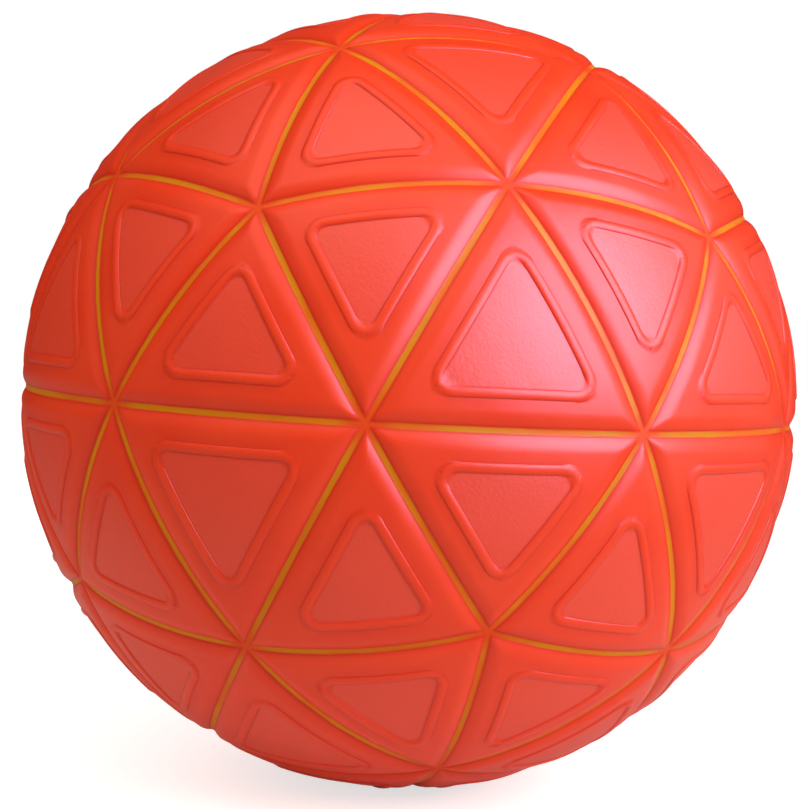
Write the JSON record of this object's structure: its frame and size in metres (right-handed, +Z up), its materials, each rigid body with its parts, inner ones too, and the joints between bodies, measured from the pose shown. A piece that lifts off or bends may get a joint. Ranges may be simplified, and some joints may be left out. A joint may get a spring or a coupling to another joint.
{
  "type": "handball",
  "caption": "Inflatable rubber handball: soft triangular cushions with sunk middles between painted grooves, over a wound carcass and a bladder with a needle valve.",
  "frame": {"origin": "centre of the ball", "axes": "+Z up through a five-way groove junction; the XY plane is the parting plane of the cover; -Y faces the camera side"},
  "size_m": [0.162, 0.1614, 0.1616],
  "materials": {
    "cover_rubber": "satin moulded foam rubber",
    "line_paint": "satin paint film",
    "carcass_rubber": "matte",
    "winding_thread": "wound nylon thread set in rubber",
    "bladder_rubber": "smooth butyl rubber",
    "valve_rubber": "moulded rubber"
  },
  "bodies": {
    "root": {"cover_upper_half": "cover_rubber", "cover_lower_half": "cover_rubber", "lines_upper_half": "line_paint", "lines_lower_half": "line_paint", "lines_equator": "line_paint", "carcass": "carcass_rubber", "thread_winding": "winding_thread", "bladder": "bladder_rubber", "valve_patch": "valve_rubber", "valve_housing": "valve_rubber", "valve_core": "valve_rubber"}
  },
  "joints": []
}
